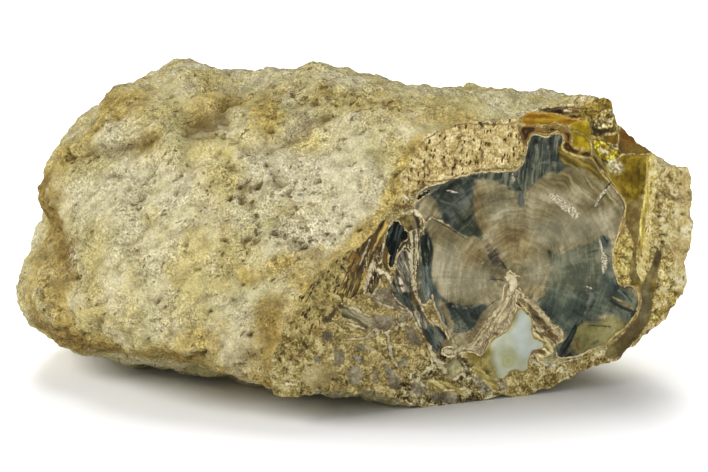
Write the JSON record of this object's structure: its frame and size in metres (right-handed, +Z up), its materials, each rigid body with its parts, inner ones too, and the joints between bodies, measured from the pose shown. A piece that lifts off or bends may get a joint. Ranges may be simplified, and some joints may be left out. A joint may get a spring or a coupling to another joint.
{
  "type": "petrified wood limb",
  "caption": "Silicified limb section in a thick pitted crust, sawn and polished flat at one end to show the wood, chalcedony and crust; lies on a natural flat underside.",
  "frame": {"origin": "centre of the bottom of the bounding box, on the surface that the stone lies on", "axes": "+Z up, -Y out of the polished face, +X to the right as seen by someone looking at the polished face, along the stone's longest side"},
  "size_m": [0.1462, 0.102, 0.0721],
  "materials": {
    "petrified_wood": "rough, pitted tan crust, with one flat face polished to a satin shine that shows dark and taupe silicified wood"
  },
  "bodies": {
    "root": {"petrified_limb": "petrified_wood"}
  },
  "joints": []
}
